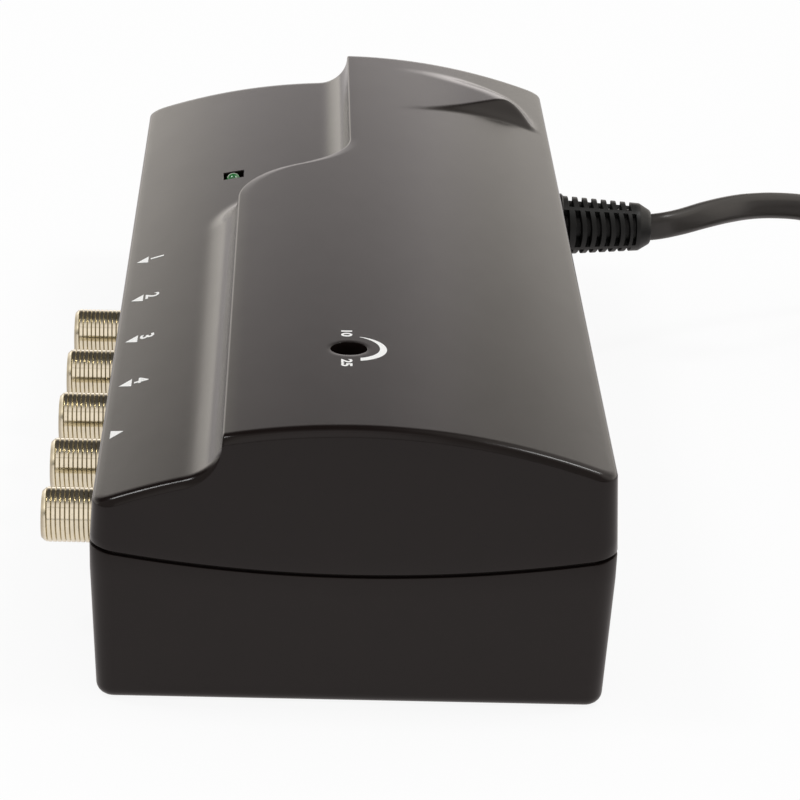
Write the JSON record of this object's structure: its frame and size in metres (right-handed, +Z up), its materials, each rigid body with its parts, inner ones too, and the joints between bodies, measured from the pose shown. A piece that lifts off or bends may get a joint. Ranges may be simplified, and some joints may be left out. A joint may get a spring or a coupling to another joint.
{
  "type": "tv signal amplifier",
  "caption": "Mains-powered aerial signal amplifier in a low black case with an arched, stepped cover, threaded coaxial sockets on one side, a recessed gain control and a flat mains cord.",
  "frame": {"origin": "middle of the flat underside of the base", "axes": "+X towards the side the mains cord leaves, +Y along the case to the far end, +Z up out of the arched cover"},
  "size_m": [0.2439, 0.22, 0.049],
  "materials": {
    "cover_plastic": "glossy moulded, near black",
    "base_plastic": "satin moulded, near black",
    "nickel": "nickel plated",
    "socket_plastic": "white moulded",
    "contact_brass": "plated spring brass",
    "board": "green laminate",
    "steel": "zinc plated",
    "tinplate": "tinned sheet",
    "black_plastic": "matt moulded",
    "blue_plastic": "matt moulded",
    "lamp_green": "tinted clear",
    "white_plastic": "natural moulded",
    "ferrite": "pressed ceramic",
    "aluminium": "plain sheet",
    "fuse_glass": "clear",
    "core_steel": "stacked laminations",
    "copper": "enamelled wire",
    "lead_brown": "wire insulation",
    "lead_blue": "wire insulation",
    "relief_rubber": "moulded, matt",
    "cord_rubber": "satin sheath",
    "plug_plastic": "matt moulded"
  },
  "bodies": {
    "housing": {"amplifier_transistor": "black_plastic", "base_tray": "base_plastic", "board_screw_1": "steel", "board_screw_2": "steel", "board_screw_3": "steel", "board_screw_4": "steel", "bridge_rectifier": "black_plastic", "contact_ant": "contact_brass", "contact_tv1": "contact_brass", "contact_tv2": "contact_brass", "contact_tv3": "contact_brass", "contact_tv4": "contact_brass", "cord_coil": "cord_rubber", "cord_tie": "black_plastic", "cover_screw_1": "steel", "cover_screw_2": "steel", "cover_screw_3": "steel", "cover_screw_4": "steel", "ferrite_splitter_1": "ferrite", "ferrite_splitter_2": "ferrite", "fuse_holder": "steel", "gain_pot_body": "blue_plastic", "heat_sink": "aluminium", "insulator_ant": "socket_plastic", "insulator_tv1": "socket_plastic", "insulator_tv2": "socket_plastic", "insulator_tv3": "socket_plastic", "insulator_tv4": "socket_plastic", "lead_live": "lead_brown", "lead_neutral": "lead_blue", "led_spacer": "white_plastic", "main_board": "board", "mains_cord": "cord_rubber", "mains_fuse": "fuse_glass", "plug_body": "plug_plastic", "plug_lead": "cord_rubber", "plug_pin_1": "nickel", "plug_pin_2": "nickel", "power_led": "lamp_green", "primary_winding": "copper", "reservoir_capacitor": "blue_plastic", "secondary_winding": "copper", "shield_frame": "tinplate", "shield_lid": "tinplate", "socket_ant": "nickel", "socket_tv1": "nickel", "socket_tv2": "nickel", "socket_tv3": "nickel", "socket_tv4": "nickel", "strain_relief": "relief_rubber", "strap_screw_1": "steel", "strap_screw_2": "steel", "top_cover": "cover_plastic", "transformer_bobbin": "white_plastic", "transformer_core": "core_steel", "transformer_strap": "steel", "voltage_regulator": "black_plastic"},
    "gain_control": {"gain_adjuster": "black_plastic"}
  },
  "joints": [
    {"name": "gain_turn", "type": "hinge", "parent": "housing", "child": "gain_control", "pos_m": [-0.0012, -0.0725, 0.03], "axis": [0, 0, 1], "range_deg": [-105, 105]}
  ]
}
